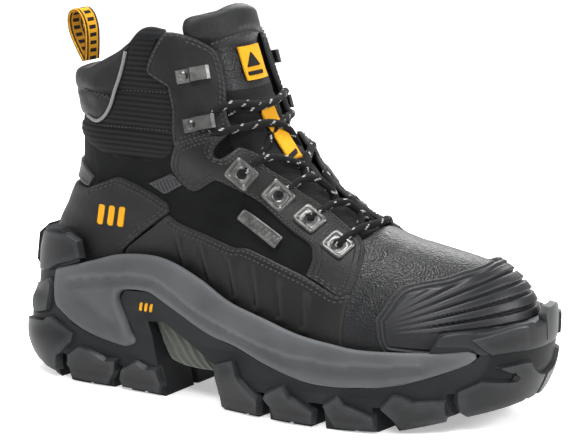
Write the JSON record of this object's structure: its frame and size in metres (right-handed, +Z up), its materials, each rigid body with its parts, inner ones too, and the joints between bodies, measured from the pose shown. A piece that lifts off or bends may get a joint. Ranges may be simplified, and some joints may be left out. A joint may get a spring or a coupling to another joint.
{
  "type": "steel toe work boot",
  "caption": "Lace-up ankle-high work boot with a lugged rubber outsole, ribbed toe bumper over a steel cap, padded collar and speed hooks.",
  "frame": {"origin": "middle of the boot's footprint on the ground", "axes": "+X from heel to toe, +Y to the inner (medial) side of this right boot, +Z up"},
  "size_m": [0.3214, 0.1213, 0.2155],
  "materials": {
    "outsole_rubber": "moulded black rubber, satin",
    "midsole_foam": "moulded grey foam, matt",
    "arch_plastic": "ribbed grey plastic",
    "bumper_rubber": "ribbed black rubber, satin",
    "full_grain_leather": "pebbled black leather, oiled",
    "quarter_leather": "dark embossed leather",
    "nubuck": "matt black nubuck",
    "ribbed_textile": "ribbed black textile",
    "lining_mesh": "black mesh lining",
    "foam": "open-cell padding",
    "tongue_textile": "padded black textile",
    "fitting_metal": "antique nickel",
    "steel": "pressed steel",
    "board_fibre": "fibre board",
    "footbed_foam": "cloth-faced foam",
    "heel_plastic": "moulded black plastic",
    "yellow_trim": "amber yellow, woven or printed",
    "piping_grey": "light grey reflective piping",
    "lace_cord": "black round lace with pale flecks"
  },
  "bodies": {
    "boot": {"outsole": "outsole_rubber", "midsole": "midsole_foam", "arch_shank": "arch_plastic", "toe_bumper": "bumper_rubber", "vamp": "full_grain_leather", "heel_counter": "full_grain_leather", "ankle_panel_lateral": "full_grain_leather", "ankle_panel_medial": "full_grain_leather", "eyestay_lateral": "full_grain_leather", "eyestay_medial": "full_grain_leather", "collar": "full_grain_leather", "mudguard_lateral": "quarter_leather", "mudguard_medial": "quarter_leather", "side_panel_lateral": "nubuck", "side_panel_medial": "nubuck", "ankle_cuff": "ribbed_textile", "lining": "lining_mesh", "ankle_padding": "foam", "toe_cap_liner": "lining_mesh", "tongue_lower": "tongue_textile", "lace_keeper": "yellow_trim", "steel_toe_cap": "steel", "heel_stiffener": "board_fibre", "steel_shank": "steel", "insole_board": "board_fibre", "heel_tab": "heel_plastic", "flex_tab_lateral": "heel_plastic", "flex_tab_medial": "heel_plastic", "badge": "fitting_metal", "heel_mark": "yellow_trim", "eyelets_lateral": "fitting_metal", "eyelets_medial": "fitting_metal", "speed_hooks_lateral": "fitting_metal", "speed_hooks_medial": "fitting_metal", "hook_rivets": "steel", "collar_piping": "piping_grey", "lace": "lace_cord"},
    "pull_loop": {"pull_loop": "yellow_trim"},
    "tongue_top": {"tongue_upper": "tongue_textile", "tongue_label": "yellow_trim"},
    "footbed": {"footbed": "footbed_foam"}
  },
  "joints": [
    {"name": "pull_loop_swing", "type": "hinge", "parent": "boot", "child": "pull_loop", "pos_m": [-0.12828, 0.00353, 0.1785], "axis": [0, 1, 0], "range_deg": [-33, 27], "stiffness_Nm_per_rad": 0.02},
    {"name": "tongue_tilt", "type": "hinge", "parent": "boot", "child": "tongue_top", "pos_m": [-0.01098, -0.00047, 0.1722], "axis": [0, 1, 0], "range_deg": [0, 9], "stiffness_Nm_per_rad": 0.5},
    {"name": "footbed_lift", "type": "hinge", "parent": "boot", "child": "footbed", "pos_m": [0.13522, 0.00353, 0.038], "axis": [0, 1, 0], "range_deg": [0, 1.8]}
  ]
}
